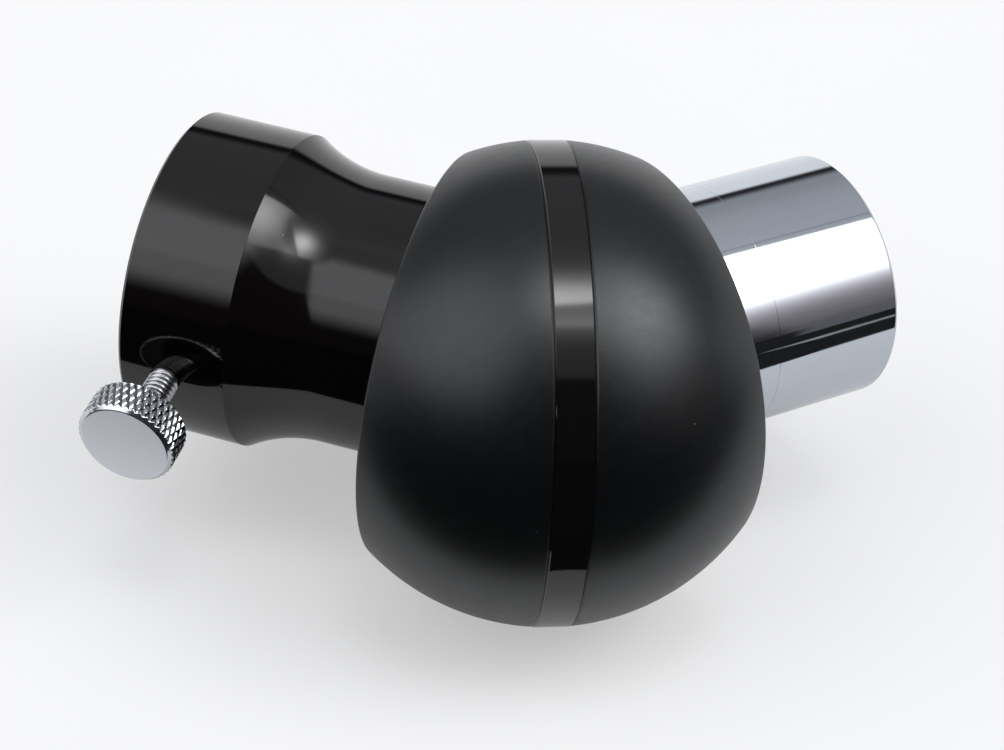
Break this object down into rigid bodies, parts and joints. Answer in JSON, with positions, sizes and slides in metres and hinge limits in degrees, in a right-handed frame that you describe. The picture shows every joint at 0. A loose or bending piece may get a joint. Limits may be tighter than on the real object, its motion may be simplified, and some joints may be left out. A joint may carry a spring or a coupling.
{
  "type": "star diagonal",
  "caption": "Erecting 45 degree prism diagonal for 1.25 inch eyepieces: ball housing with band, chrome nosepiece, waisted eyepiece holder with a knurled thumbscrew.",
  "frame": {"origin": "on the nosepiece's axis, at the middle of its full-diameter land", "axes": "+X out along the nosepiece, +Z square to the plane of the bend; the eyepiece holder runs out along (-1, +1, 0)"},
  "size_m": [0.0993, 0.0832, 0.0598],
  "materials": {
    "satin_black": "fine blasted, satin black anodised",
    "gloss_black_band": "polished, gloss black anodised",
    "gloss_black": "gloss black anodised, faint turning marks",
    "chrome": "polished chrome plate",
    "knob_chrome": "chrome plate over a diamond knurl, satin end face",
    "stud_steel": "bright rolled thread",
    "raw_aluminium": "turned",
    "blackened_aluminium": "matte black",
    "brass": "turned",
    "optical_glass": "polished, coated",
    "cork": "agglomerated cork",
    "foam": "closed-cell foam",
    "screw_steel": "zinc plated",
    "nylon": "natural"
  },
  "bodies": {
    "housing": {"eyepiece_side_shell": "satin_black", "nosepiece_side_shell": "satin_black", "centre_band": "gloss_black_band", "eyepiece_holder": "gloss_black", "holder_lock_ring": "raw_aluminium", "nosepiece_tube": "chrome", "nosepiece_lock_ring": "raw_aluminium", "clamp_ring": "brass", "roof_prism": "optical_glass", "upper_cage_plate": "blackened_aluminium", "lower_cage_plate": "blackened_aluminium", "upper_cork_pad": "cork", "lower_cork_pad": "cork", "entrance_aperture_plate": "blackened_aluminium", "exit_aperture_plate": "blackened_aluminium", "aperture_plate_screws": "screw_steel", "cage_screws": "screw_steel", "roof_saddle": "blackened_aluminium", "saddle_pads": "foam", "saddle_screws": "screw_steel", "apex_stop_bar": "blackened_aluminium"},
    "screw_pad": {"pressure_pad": "nylon"},
    "thumbscrew": {"thumbscrew_knob": "knob_chrome", "thumbscrew_stud": "stud_steel"}
  },
  "joints": [
    {"name": "thumbscrew_travel", "type": "slide", "parent": "housing", "child": "screw_pad", "axis": [0.705, 0.705, 0.0767], "range_m": [-0.0016, 0.00058]},
    {"name": "thumbscrew_turn", "type": "hinge", "parent": "screw_pad", "child": "thumbscrew", "pos_m": [-0.08288, 0.0108, -0.00207], "axis": [0.705, 0.705, 0.0767], "range_deg": [-822, 298]}
  ],
  "couplings": [
    {"joint": "thumbscrew_turn", "follows": "thumbscrew_travel", "rad_per_m": 8976}
  ]
}
